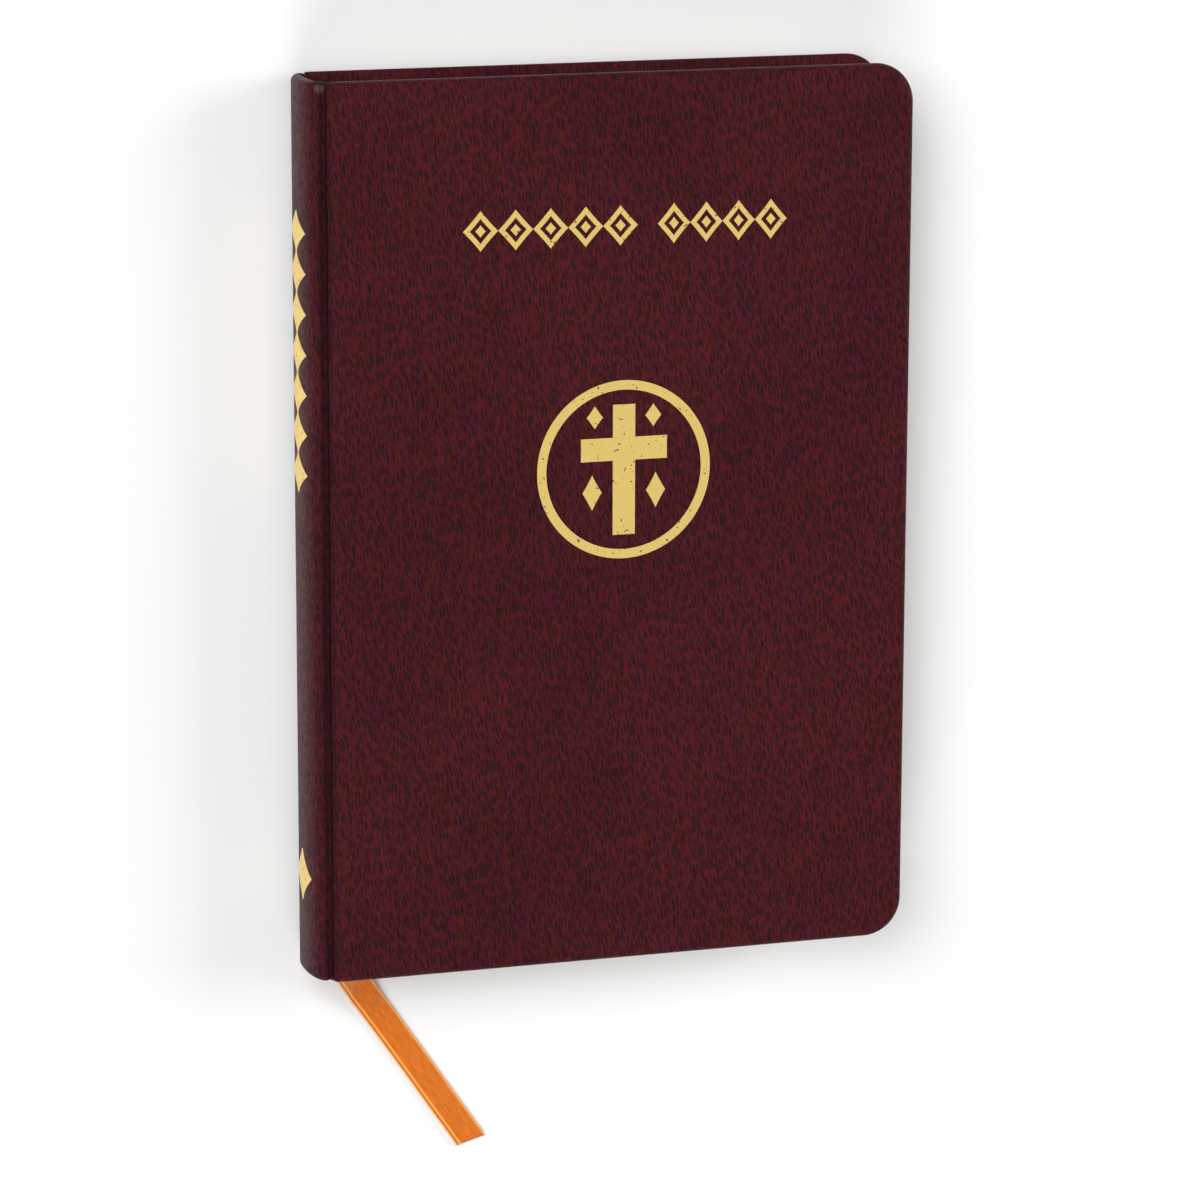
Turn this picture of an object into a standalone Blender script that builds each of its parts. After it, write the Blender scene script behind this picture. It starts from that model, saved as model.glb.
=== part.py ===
"""A small prayer book in flexible leather covers, with sewn gatherings and a ribbon marker.

The closed book lies on its back cover. X runs from the spine to the fore edge, Y from the tail
to the head and Z through the thickness. The origin is the centre of the underside of the book.
"""
import math

import bmesh
import bpy
from mathutils import Matrix, Vector

MM = 0.001

# Overall sizes of the closed book
HEIGHT = 171.0 * MM
WIDTH = 118.2 * MM
THICKNESS = 19.0 * MM

# Cover: outer leather, board, turned-in leather and pastedown, from outside to inside
LEATHER = 0.65 * MM
BOARD = 0.6 * MM
TURN_IN = 0.4 * MM
TURN_IN_WIDTH = 12.0 * MM
PASTEDOWN = 0.2 * MM
COVER_CORNER = 7.5 * MM
COVER_EDGE_ROUNDING = 0.45 * MM
SQUARE = 3.0 * MM

# Spine and joint
SPINE_BULGE = 1.0 * MM
SPINE_LINING = 0.3 * MM
MULL = 0.2 * MM
THREAD = 0.4 * MM
JOINT_DEPTH = 2.0 * MM
SHOULDER_RADIUS = 2.4 * MM
JOINT_FROM_SPINE = 3.5 * MM
FLYLEAF_FOLD_FROM_SPINE = 4.4 * MM
PASTEDOWN_FROM_SPINE = 5.4 * MM
SPINE_FOLD_OUTSIDE = 0.25 * MM

# Leaves
GATHERINGS_PER_HALF = 6
FLYLEAF = 0.15 * MM
PAGE_CORNER = 6.0 * MM
LEAF_FOLD_ROUNDING = 0.35 * MM
GUTTER_FOLD_FROM_SPINE = 3.2 * MM

# Bands at the ends of the spine
BAND_DIAMETER = 1.4 * MM

# Ribbon marker
RIBBON_WIDTH = 6.0 * MM
RIBBON_THICKNESS = 0.3 * MM
RIBBON_FLOOR_CLEARANCE = 0.15 * MM

# Gold foil
FOIL = 0.08 * MM
TITLE_HEIGHT = 7.6 * MM
TITLE_CENTRE_Y = 57.0 * MM
TITLE_LEFT = (-29.8 * MM, 4.2 * MM)
TITLE_RIGHT = (8.1 * MM, 33.7 * MM)
TITLE_LOZENGES = (5, 4)
CHAIN_NECK = 0.8 * MM
DEVICE_CENTRE = (1.65 * MM, 10.55 * MM)
RING_DIAMETER = 34.2 * MM
RING_BAND = 1.8 * MM
CROSS_HEIGHT = 25.0 * MM
CROSS_WIDTH = 17.0 * MM
CROSS_ARM = 4.4 * MM
CROSS_BAR_ABOVE_CENTRE = 4.0 * MM
SPINE_CHAIN = (8.0 * MM, 61.0 * MM)
SPINE_CHAIN_LOZENGES = 7
SPINE_CHAIN_HALF_WIDTH = 4.7 * MM
SPINE_MARK_CENTRE_Y = -66.0 * MM
SPINE_MARK_LENGTH = 10.0 * MM

# Clearances
GLUE_LINE = 0.12 * MM
FIT = 0.3 * MM
FOIL_LIFT = 0.05 * MM

# Worked out from the sizes above
MIDDLE = THICKNESS / 2
SPINE_X = -WIDTH / 2
FORE_X = WIDTH / 2
HALF_HEIGHT = HEIGHT / 2
COVER = LEATHER + GLUE_LINE + BOARD + GLUE_LINE + TURN_IN
GROOVE_TOP = THICKNESS - JOINT_DEPTH
BLOCK_TOP = GROOVE_TOP - LEATHER - 1.25 * GLUE_LINE
OPENING = RIBBON_THICKNESS + 2 * FLYLEAF + 4 * GLUE_LINE
BLOCK_BOTTOM = MIDDLE + OPENING / 2
LINING_DEPTH = LEATHER + GLUE_LINE
MULL_DEPTH = LINING_DEPTH + SPINE_LINING + GLUE_LINE
THREAD_DEPTH = MULL_DEPTH + MULL + GLUE_LINE
BLOCK_DEPTH = THREAD_DEPTH + THREAD + GLUE_LINE
BLOCK_FORE_X = FORE_X - SQUARE
BLOCK_HALF_HEIGHT = HALF_HEIGHT - SQUARE
COVER_SPINE_X = SPINE_X + JOINT_FROM_SPINE + FIT / 2
COVER_AXIS_Z = THICKNESS - COVER / 2
PASTEDOWN_TOP = THICKNESS - COVER - GLUE_LINE
FLYLEAF_TOP = PASTEDOWN_TOP - PASTEDOWN - GLUE_LINE
RIBBON_Z = MIDDLE - OPENING / 2 + GLUE_LINE + RIBBON_THICKNESS / 2
LEAF_LOWER_Z = RIBBON_Z + RIBBON_THICKNESS / 2 + GLUE_LINE + FLYLEAF / 2
LEAF_UPPER_Z = LEAF_LOWER_Z + FLYLEAF + GLUE_LINE
RIBBON_EXIT_Y = -HALF_HEIGHT - 2.0 * MM
RIBBON_REST_Z = RIBBON_FLOOR_CLEARANCE + RIBBON_THICKNESS / 2

UP = 1
DOWN = -1
ARC_STEPS = 6


def clear_scene():
    for item in list(bpy.data.objects):
        bpy.data.objects.remove(item)


def material(name, colour, roughness, metallic=0.0):
    made = bpy.data.materials.new(name)
    made.use_nodes = True
    shader = made.node_tree.nodes["Principled BSDF"]
    shader.inputs["Base Color"].default_value = (*colour, 1.0)
    shader.inputs["Roughness"].default_value = roughness
    shader.inputs["Metallic"].default_value = metallic
    made.diffuse_color = (*colour, 1.0)
    return made


def add_object(name, mesh, finish):
    piece = bpy.data.objects.new(name, mesh)
    bpy.context.collection.objects.link(piece)
    if finish:
        mesh.materials.append(finish)
    return piece


def finish_mesh(name, shape, finish):
    """Turns a bmesh into an object with outward faces."""
    bmesh.ops.recalc_face_normals(shape, faces=shape.faces)
    mesh = bpy.data.meshes.new(name)
    shape.to_mesh(mesh)
    shape.free()
    return add_object(name, mesh, finish)


def extrude_outline(name, points, direction, finish, rounded=None, width=0.0, segments=2):
    """Extrudes a flat outline of 3-D points; rounded(edge) picks the edges to bevel."""
    shape = bmesh.new()
    corners = [shape.verts.new(point) for point in points]
    face = shape.faces.new(corners)
    grown = bmesh.ops.extrude_face_region(shape, geom=[face])
    moved = [item for item in grown["geom"] if isinstance(item, bmesh.types.BMVert)]
    bmesh.ops.translate(shape, verts=moved, vec=direction)
    bmesh.ops.recalc_face_normals(shape, faces=shape.faces)
    if rounded:
        edges = [edge for edge in shape.edges if rounded(edge)]
        bmesh.ops.bevel(shape, geom=edges, offset=width, segments=segments, profile=0.5, affect="EDGES")
    return finish_mesh(name, shape, finish)


def arc(centre, radius, start, end, steps=ARC_STEPS):
    """Points on an arc, in degrees."""
    points = []
    for step in range(steps + 1):
        angle = math.radians(start + (end - start) * step / steps)
        points.append((centre[0] + radius * math.cos(angle), centre[1] + radius * math.sin(angle)))
    return points


def leaf_outline(left, right, half_height, fore_radius, spine_radius):
    """A rectangle with round corners at the fore edge and smaller ones at the spine."""
    fore = max(fore_radius, 0.2 * MM)
    spine = max(spine_radius, 0.2 * MM)
    outline = arc((right - fore, half_height - fore), fore, 90, 0)
    outline += arc((right - fore, -half_height + fore), fore, 0, -90)
    outline += arc((left + spine, -half_height + spine), spine, -90, -180, 2)
    outline += arc((left + spine, half_height - spine), spine, 180, 90, 2)
    return outline


def mirrored(z, side):
    """The same height counted from the top of the book, or from its underside."""
    return z if side == UP else THICKNESS - z


def slab(name, outline, low, high, side, finish, **bevel):
    """An outline in plan between two heights, mirrored for the lower side of the book."""
    start = mirrored(low, side)
    points = [(x, y, start) for x, y in outline]
    return extrude_outline(name, points, (0, 0, mirrored(high, side) - start), finish, **bevel)


def cut(piece, cutter):
    cutter.hide_render = True
    cutter.display_type = "WIRE"
    modifier = piece.modifiers.new(cutter.name, "BOOLEAN")
    modifier.operation = "DIFFERENCE"
    modifier.solver = "EXACT"
    modifier.object = cutter


def joint_empty(name, place):
    empty = bpy.data.objects.new(name, None)
    empty.location = place
    empty.empty_display_size = 5 * MM
    bpy.context.collection.objects.link(empty)
    return empty


def hang(pieces, empty):
    """Parents pieces to the empty on their joint's axis, and leaves them where they are."""
    for piece in pieces:
        piece.parent = empty
        piece.matrix_parent_inverse = Matrix.Translation(-empty.location)


def arc_offset(z):
    """How far the rounded spine falls back at a height."""
    return SPINE_BULGE * ((z - MIDDLE) / (BLOCK_TOP - MIDDLE)) ** 2


def make_cover(side, finishes):
    """Leather with its turn-ins, the board inside it and the pastedown that covers them."""
    word = "front" if side == UP else "back"
    outline = leaf_outline(COVER_SPINE_X, FORE_X, HALF_HEIGHT, COVER_CORNER, 0.8 * MM)
    outer = mirrored(THICKNESS, side)

    def on_outer_face(edge):
        return all(abs(corner.co.z - outer) < 1e-6 for corner in edge.verts)

    leather = slab(
        f"{word}_cover_leather", outline, THICKNESS - COVER, THICKNESS, side, finishes["leather"],
        rounded=on_outer_face, width=COVER_EDGE_ROUNDING,
    )
    pocket = leaf_outline(
        COVER_SPINE_X + LEATHER, FORE_X - LEATHER, HALF_HEIGHT - LEATHER, COVER_CORNER - LEATHER, 0.3 * MM
    )
    pocket_low = THICKNESS - COVER + TURN_IN
    cut(leather, slab(f"{word}_pocket_cutter", pocket, pocket_low, THICKNESS - LEATHER, side, None))
    window = leaf_outline(
        COVER_SPINE_X + LEATHER + GLUE_LINE, FORE_X - TURN_IN_WIDTH, HALF_HEIGHT - TURN_IN_WIDTH, 2 * MM, 0.3 * MM
    )
    window_low = THICKNESS - COVER - 1 * MM
    cut(leather, slab(f"{word}_window_cutter", window, window_low, pocket_low + BOARD / 2, side, None))

    edge = LEATHER + GLUE_LINE
    board_outline = leaf_outline(
        COVER_SPINE_X + edge, FORE_X - edge, HALF_HEIGHT - edge, COVER_CORNER - edge, 0.3 * MM
    )
    board_top = THICKNESS - edge
    board = slab(f"{word}_board", board_outline, board_top - BOARD, board_top, side, finishes["board"])

    paste_outline = leaf_outline(
        SPINE_X + PASTEDOWN_FROM_SPINE, BLOCK_FORE_X, BLOCK_HALF_HEIGHT, PAGE_CORNER, 0.3 * MM
    )
    pastedown = slab(
        f"{word}_pastedown", paste_outline, PASTEDOWN_TOP - PASTEDOWN, PASTEDOWN_TOP, side, finishes["endpaper"]
    )
    return [leather, board, pastedown]


def make_leaf(name, fold_x, z, finish):
    """One loose leaf, from just beyond its fold to the fore edge."""
    outline = leaf_outline(fold_x + FIT / 2, BLOCK_FORE_X, BLOCK_HALF_HEIGHT, PAGE_CORNER, 0.3 * MM)
    points = [(x, y, z - FLYLEAF / 2) for x, y in outline]
    return extrude_outline(name, points, (0, 0, FLYLEAF), finish)


def make_gatherings(side, finish):
    """Folded gatherings, set back along the round of the spine; the fold edges are rounded."""
    pitch = (BLOCK_TOP - BLOCK_BOTTOM) / GATHERINGS_PER_HALF
    made = []
    for number in range(GATHERINGS_PER_HALF):
        low = BLOCK_BOTTOM + number * pitch
        high = low + pitch - GLUE_LINE
        back = SPINE_X + BLOCK_DEPTH + arc_offset(high)
        front = BLOCK_FORE_X - SPINE_BULGE + arc_offset(high)
        outline = leaf_outline(back, front, BLOCK_HALF_HEIGHT, PAGE_CORNER, 0.3 * MM)

        def on_fold(edge):
            along = abs(edge.verts[0].co.y - edge.verts[1].co.y) > BLOCK_HALF_HEIGHT
            return along and all(corner.co.x < back + 1e-6 for corner in edge.verts)

        count = GATHERINGS_PER_HALF - number if side == UP else GATHERINGS_PER_HALF + 1 + number
        name = f"gathering_{count:02d}"
        made.append(slab(name, outline, low, high, side, finish, rounded=on_fold, width=LEAF_FOLD_ROUNDING))
    return made


def spine_section(name, outer, inner, side, half_length, finish):
    """Extrudes a section given as outer and inner points (depth from the spine, height)."""
    section = outer + inner[::-1]
    points = [(SPINE_X + depth, -half_length, mirrored(z, side)) for depth, z in section]
    return extrude_outline(name, points, (0, 2 * half_length, 0), finish)


def spine_arc(depth, low, high, steps=5):
    """Points of the spine's round at one depth, from one height to another."""
    heights = [low + (high - low) * step / steps for step in range(steps + 1)]
    return [(depth + arc_offset(z), z) for z in heights]


def make_spine_leather(side, finish):
    """Half of the spine leather: the round, the shoulder and the strip down in the joint."""
    word = "front" if side == UP else "back"
    shoulder = GROOVE_TOP - SHOULDER_RADIUS
    centre = (arc_offset(shoulder) + SHOULDER_RADIUS, shoulder)
    end = JOINT_FROM_SPINE - FIT / 2
    low = MIDDLE + FIT / 2
    outer = spine_arc(0, low, shoulder) + arc(centre, SHOULDER_RADIUS, 180, 90)[1:] + [(end, GROOVE_TOP)]
    inner = spine_arc(LEATHER, low, shoulder) + arc(centre, SHOULDER_RADIUS - LEATHER, 180, 90)[1:]
    inner += [(end, GROOVE_TOP - LEATHER)]
    return spine_section(f"spine_leather_{word}", outer, inner, side, HALF_HEIGHT, finish)


def make_spine_layers(side, finishes):
    """The paper lining and the cloth glued over the folds, under the leather."""
    word = "front" if side == UP else "back"
    low = MIDDLE + FIT / 2
    high = GROOVE_TOP - SHOULDER_RADIUS - GLUE_LINE
    layers = (
        ("spine_lining", LINING_DEPTH, SPINE_LINING, BLOCK_HALF_HEIGHT - FIT, finishes["lining"]),
        ("mull_cloth", MULL_DEPTH, MULL, BLOCK_HALF_HEIGHT - 6 * MM, finishes["mull"]),
    )
    made = []
    for name, depth, thickness, half_length, finish in layers:
        outer = spine_arc(depth, low, high)
        inner = spine_arc(depth + thickness, low, high)
        made.append(spine_section(f"{name}_{word}", outer, inner, side, half_length, finish))
    return made


def tube(name, points, diameter, finish, resolution=2):
    """A round thread or cord through a list of points, with closed ends."""
    curve = bpy.data.curves.new(name, "CURVE")
    curve.dimensions = "3D"
    curve.bevel_depth = diameter / 2
    curve.bevel_resolution = resolution
    curve.use_fill_caps = True
    line = curve.splines.new("POLY")
    line.points.add(len(points) - 1)
    for place, point in zip(line.points, points):
        place.co = (*point, 1.0)
    curve.materials.append(finish)
    piece = bpy.data.objects.new(name, curve)
    bpy.context.collection.objects.link(piece)
    return piece


def make_thread(side, finish):
    """The sewing thread over the folds: across them at each station, along them between."""
    word = "front" if side == UP else "back"
    low = BLOCK_BOTTOM + THREAD
    high = GROOVE_TOP - SHOULDER_RADIUS - THREAD
    reach = BLOCK_HALF_HEIGHT - 12 * MM
    stations = [reach - 2 * reach * number / 5 for number in range(6)]
    points = []
    for number, y in enumerate(stations):
        ends = (low, high) if number % 2 == 0 else (high, low)
        for step in range(5):
            z = ends[0] + (ends[1] - ends[0]) * step / 4
            points.append((SPINE_X + THREAD_DEPTH + THREAD / 2 + arc_offset(z), y, mirrored(z, side)))
    return tube(f"sewing_thread_{word}", points, THREAD, finish)


def make_bands(side, finish):
    """The sewn bands at the head and the tail of the spine."""
    word = "front" if side == UP else "back"
    made = []
    for place, end in (("headband", 1), ("tailband", -1)):
        y = end * (BLOCK_HALF_HEIGHT + BAND_DIAMETER / 2 + GLUE_LINE)
        low = MIDDLE + FIT / 2
        high = BLOCK_TOP - BAND_DIAMETER / 2
        points = []
        for step in range(5):
            z = low + (high - low) * step / 4
            x = SPINE_X + LEATHER + GLUE_LINE + FIT + BAND_DIAMETER / 2 + arc_offset(z)
            points.append((x, y, mirrored(z, side)))
        made.append(tube(f"{place}_{word}", points, BAND_DIAMETER, finish, 3))
    return made


def strip(name, path, directions, width, thickness, finish):
    """A flat ribbon along a path; directions are the ways that its width runs."""
    shape = bmesh.new()
    rings = []
    for number, (place, across) in enumerate(zip(path, directions)):
        before = Vector(path[max(number - 1, 0)])
        after = Vector(path[min(number + 1, len(path) - 1)])
        side = Vector(across).normalized()
        normal = side.cross((after - before).normalized()).normalized()
        centre = Vector(place)
        ring = []
        for along, out in ((-1, -1), (1, -1), (1, 1), (-1, 1)):
            ring.append(shape.verts.new(centre + side * along * width / 2 + normal * out * thickness / 2))
        rings.append(ring)
    for first, second in zip(rings, rings[1:]):
        for corner in range(4):
            following = (corner + 1) % 4
            shape.faces.new((first[corner], first[following], second[following], second[corner]))
    shape.faces.new(rings[0])
    shape.faces.new(rings[-1][::-1])
    return finish_mesh(name, shape, finish)


def mix(first, second, share):
    return tuple(a + (b - a) * share for a, b in zip(first, second))


RIBBON_INNER_ROUTE = [
    (-52.5 * MM, 81.0 * MM, RIBBON_Z),
    (-50.2 * MM, -BLOCK_HALF_HEIGHT, RIBBON_Z),
    (-49.9 * MM, -HALF_HEIGHT + 0.8 * MM, RIBBON_Z - 0.5 * MM),
    (-49.6 * MM, RIBBON_EXIT_Y + 0.2 * MM, RIBBON_Z - 2.2 * MM),
]
RIBBON_EXIT = (-49.5 * MM, RIBBON_EXIT_Y, RIBBON_Z - 2.4 * MM)
RIBBON_TAIL_ROUTE = [
    (-49.4 * MM, RIBBON_EXIT_Y - 0.2 * MM, RIBBON_Z - 2.6 * MM),
    (-47.4 * MM, RIBBON_EXIT_Y - 2.9 * MM, 3.6 * MM),
    (-45.5 * MM, RIBBON_EXIT_Y - 5.7 * MM, 1.5 * MM),
    (-43.3 * MM, RIBBON_EXIT_Y - 8.8 * MM, RIBBON_REST_Z + 0.15 * MM),
    (-40.8 * MM, RIBBON_EXIT_Y - 12.4 * MM, RIBBON_REST_Z),
    (-33.8 * MM, RIBBON_EXIT_Y - 22.8 * MM, RIBBON_REST_Z),
]
RIBBON_CREASE = (-33.7 * MM, RIBBON_EXIT_Y - 22.95 * MM, RIBBON_REST_Z)
RIBBON_TIP_ROUTE = [
    (-33.6 * MM, RIBBON_EXIT_Y - 23.1 * MM, RIBBON_REST_Z),
    (-23.5 * MM, RIBBON_EXIT_Y - 38.3 * MM, RIBBON_REST_Z),
]
ACROSS_PAGE = (1.0, 0.0, 0.0)
ACROSS_FLOOR = (0.829, 0.560, 0.0)


def make_ribbon(finish):
    """The marker: between the pages, over the tail to the floor, and its loose tip."""
    inner = strip(
        "ribbon_inner", RIBBON_INNER_ROUTE, [ACROSS_PAGE] * 3 + [mix(ACROSS_PAGE, ACROSS_FLOOR, 0.6)],
        RIBBON_WIDTH, RIBBON_THICKNESS, finish,
    )
    turns = (0.6, 0.9, 1.0, 1.0, 1.0, 1.0)
    tail = strip(
        "ribbon_tail", RIBBON_TAIL_ROUTE, [mix(ACROSS_PAGE, ACROSS_FLOOR, turn) for turn in turns],
        RIBBON_WIDTH, RIBBON_THICKNESS, finish,
    )
    tip = strip("ribbon_tip", RIBBON_TIP_ROUTE, [ACROSS_FLOOR] * 2, RIBBON_WIDTH, RIBBON_THICKNESS, finish)
    return inner, tail, tip


def chain(start, end, count, half_width):
    """One side of a chain of lozenges: (along, out) points from its start to its end."""
    pitch = (end - start) / count
    points = [(start, CHAIN_NECK / 2)]
    for number in range(count):
        points.append((start + (number + 0.5) * pitch, half_width))
        points.append((start + (number + 1) * pitch, CHAIN_NECK / 2))
    return points


def make_cover_foil(finish):
    """Two lozenge chains where a title stands, and a plain cross in a ring."""
    low = THICKNESS + FOIL_LIFT
    high = low + FOIL
    made = []
    for word, ends, count in zip(("left", "right"), (TITLE_LEFT, TITLE_RIGHT), TITLE_LOZENGES):
        edge = chain(ends[0], ends[1], count, TITLE_HEIGHT / 2)
        outline = [(x, TITLE_CENTRE_Y + out) for x, out in edge]
        outline += [(x, TITLE_CENTRE_Y - out) for x, out in edge[::-1]]
        made.append(slab(f"title_foil_{word}", outline, low, high, UP, finish))

    x, y = DEVICE_CENTRE
    arm = CROSS_ARM / 2
    bar = y + CROSS_BAR_ABOVE_CENTRE
    top = y + CROSS_HEIGHT / 2
    foot = y - CROSS_HEIGHT / 2
    side = CROSS_WIDTH / 2
    cross = [
        (x - arm, top), (x + arm, top), (x + arm, bar + arm), (x + side, bar + arm),
        (x + side, bar - arm), (x + arm, bar - arm), (x + arm, foot), (x - arm, foot),
        (x - arm, bar - arm), (x - side, bar - arm), (x - side, bar + arm), (x - arm, bar + arm),
    ]
    made.append(slab("cross_foil", cross, low, high, UP, finish))

    ring = slab("ring_foil", arc((x, y), RING_DIAMETER / 2, 0, 354, 59), low, high, UP, finish)
    hole = arc((x, y), RING_DIAMETER / 2 - RING_BAND, 0, 354, 59)
    cut(ring, slab("ring_cutter", hole, low - FIT, high + FIT, UP, None))
    made.append(ring)
    return made


def make_spine_foil(side, finish):
    """Half of the lozenge chain and half of the small mark on the spine."""
    word = "front" if side == UP else "back"
    marks = (
        ("spine_chain_foil", SPINE_CHAIN, SPINE_CHAIN_LOZENGES),
        ("spine_mark_foil", (SPINE_MARK_CENTRE_Y - SPINE_MARK_LENGTH / 2,
                             SPINE_MARK_CENTRE_Y + SPINE_MARK_LENGTH / 2), 1),
    )
    made = []
    for name, ends, count in marks:
        edge = chain(ends[0], ends[1], count, SPINE_CHAIN_HALF_WIDTH)
        outline = [(y, MIDDLE + FIT / 2 + out) for y, out in edge]
        outline += [(ends[1], MIDDLE + FIT / 2), (ends[0], MIDDLE + FIT / 2)]
        points = [(SPINE_X - FOIL_LIFT, y, mirrored(z, side)) for y, z in outline]
        made.append(extrude_outline(f"{name}_{word}", points, (-FOIL, 0, 0), finish))
    return made


def main():
    clear_scene()
    finishes = {
        "leather": material("dark_red_leather", (0.055, 0.011, 0.014), 0.45),
        "board": material("grey_board", (0.30, 0.27, 0.23), 0.9),
        "endpaper": material("endpaper", (0.72, 0.66, 0.54), 0.85),
        "page": material("page_paper", (0.80, 0.75, 0.63), 0.85),
        "lining": material("lining_paper", (0.45, 0.35, 0.24), 0.9),
        "mull": material("mull_cloth", (0.70, 0.66, 0.56), 0.95),
        "thread": material("linen_thread", (0.75, 0.70, 0.58), 0.8),
        "band": material("band_silk", (0.42, 0.05, 0.05), 0.5),
        "ribbon": material("orange_satin", (0.68, 0.19, 0.017), 0.4),
        "foil": material("gold_foil", (0.83, 0.65, 0.19), 0.3, 1.0),
    }

    for side in (UP, DOWN):
        make_gatherings(side, finishes["page"])
        make_spine_leather(side, finishes["leather"])
        make_spine_layers(side, finishes)
        make_thread(side, finishes["thread"])
        make_bands(side, finishes["band"])
        make_spine_foil(side, finishes["foil"])

    front_names = [f"gathering_{number:02d}" for number in range(1, GATHERINGS_PER_HALF + 1)]
    front_half = [item for item in bpy.data.objects if item.name in front_names or item.name.endswith("_front")]
    spine_fold = joint_empty("spine_fold", (SPINE_X - SPINE_FOLD_OUTSIDE, 0, MIDDLE))
    hang(front_half, spine_fold)

    front_joint = joint_empty("front_joint", (SPINE_X + JOINT_FROM_SPINE, 0, COVER_AXIS_Z))
    hang(make_cover(UP, finishes) + make_cover_foil(finishes["foil"]), front_joint)
    back_joint = joint_empty("back_joint", (SPINE_X + JOINT_FROM_SPINE, 0, mirrored(COVER_AXIS_Z, DOWN)))
    hang(make_cover(DOWN, finishes), back_joint)

    flyleaf_x = SPINE_X + FLYLEAF_FOLD_FROM_SPINE
    gutter_x = SPINE_X + GUTTER_FOLD_FROM_SPINE
    flyleaf_z = FLYLEAF_TOP - FLYLEAF / 2
    leaves = (
        ("front_flyleaf", flyleaf_x, flyleaf_z, finishes["endpaper"]),
        ("back_flyleaf", flyleaf_x, mirrored(flyleaf_z, DOWN), finishes["endpaper"]),
        ("marked_leaf_left", gutter_x, LEAF_UPPER_Z, finishes["page"]),
        ("marked_leaf_right", gutter_x, LEAF_LOWER_Z, finishes["page"]),
    )
    for name, x, z, finish in leaves:
        hang([make_leaf(name, x, z, finish)], joint_empty(f"{name}_fold", (x, 0, z)))

    _, tail, tip = make_ribbon(finishes["ribbon"])
    hang([tail], joint_empty("ribbon_bend", RIBBON_EXIT))
    hang([tip], joint_empty("ribbon_crease", RIBBON_CREASE))


main()
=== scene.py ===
"""A small prayer book in flexible leather covers: its leather, foil, paper, bands and ribbon.

Laid out as an add-on and run as a script. Lengths are in metres, and MM turns millimetres into them.
"""

import math
import random
from contextlib import contextmanager

import bmesh
import bpy
from mathutils import Matrix, Vector, noise


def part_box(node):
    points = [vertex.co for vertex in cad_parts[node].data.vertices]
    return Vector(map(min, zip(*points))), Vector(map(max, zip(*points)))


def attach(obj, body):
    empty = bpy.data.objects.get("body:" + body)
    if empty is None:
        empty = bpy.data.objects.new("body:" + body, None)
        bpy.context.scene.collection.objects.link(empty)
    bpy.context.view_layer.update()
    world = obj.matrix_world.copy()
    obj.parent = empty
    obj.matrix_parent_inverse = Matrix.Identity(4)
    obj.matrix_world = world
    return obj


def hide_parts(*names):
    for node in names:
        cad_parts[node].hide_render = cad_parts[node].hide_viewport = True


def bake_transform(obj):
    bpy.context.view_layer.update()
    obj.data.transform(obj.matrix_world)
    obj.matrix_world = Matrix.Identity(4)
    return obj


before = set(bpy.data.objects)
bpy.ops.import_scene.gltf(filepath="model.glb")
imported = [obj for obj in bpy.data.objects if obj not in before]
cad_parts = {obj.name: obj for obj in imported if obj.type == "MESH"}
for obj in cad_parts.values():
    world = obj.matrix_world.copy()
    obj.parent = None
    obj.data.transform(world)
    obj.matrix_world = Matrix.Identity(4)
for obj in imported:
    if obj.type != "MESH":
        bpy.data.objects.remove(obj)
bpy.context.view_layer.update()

bl_info = {
    "name": "Leather Prayer Book",
    "version": (1, 0, 0),
    "blender": (4, 5, 0),
    "location": "View3D > Sidebar > Prayer Book",
    "description": "Adds the leather, foil, paper, bands and ribbon of a small prayer book",
    "category": "Add Mesh",
}

MM = 0.001


def corners(node):
    """The low and high corners of a solid's box."""
    low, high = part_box(node)
    return Vector(low), Vector(high)


COVER_LOW, COVER_HIGH = corners("front_cover_leather")
SPINE_LOW, SPINE_HIGH = corners("spine_leather_front")

# Places that the frame gives
TOP = COVER_HIGH.z
MIDDLE = TOP / 2
SPINE_X = SPINE_LOW.x
HALF_HEIGHT = COVER_HIGH.y
COVER_THICKNESS = COVER_HIGH.z - COVER_LOW.z
GROOVE_Z = SPINE_HIGH.z
UP = 1
DOWN = -1
SIDES = ((UP, "front"), (DOWN, "back"))

# The middle line of the painted shade down the joint groove, and the place of the painted pale highlight at
# the groove's head
GROOVE_SHADE_X = SPINE_X + 3.3 * MM
HEAD_HIGHLIGHT_PLACE = (SPINE_X + 2.7 * MM, HALF_HEIGHT - 1.3 * MM, GROOVE_Z)

# Two heights on the spine, 2.2 mm below and above its middle, meant for the leather's bend as the book opens;
# no step here bends it
SPINE_BEND = ((0, 0, MIDDLE - 2.2 * MM), (0, 0, MIDDLE + 2.2 * MM))

# Less than any real step between two points
TINY = 1e-6


# ---------------- settings


def colour_setting(name, description, default):
    return bpy.props.FloatVectorProperty(
        name=name, description=description, subtype="COLOR", size=3, min=0, max=1, default=default,
    )


def length_setting(name, description, default):
    return bpy.props.FloatProperty(
        name=name, description=description, unit="LENGTH", min=0.1 * MM, default=default,
    )


def share_setting(name, description, default):
    return bpy.props.FloatProperty(
        name=name, description=description, subtype="FACTOR", min=0, max=1, default=default,
    )


def power_setting(name, description, default):
    return bpy.props.FloatProperty(name=name, description=description, unit="POWER", default=default)


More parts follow.
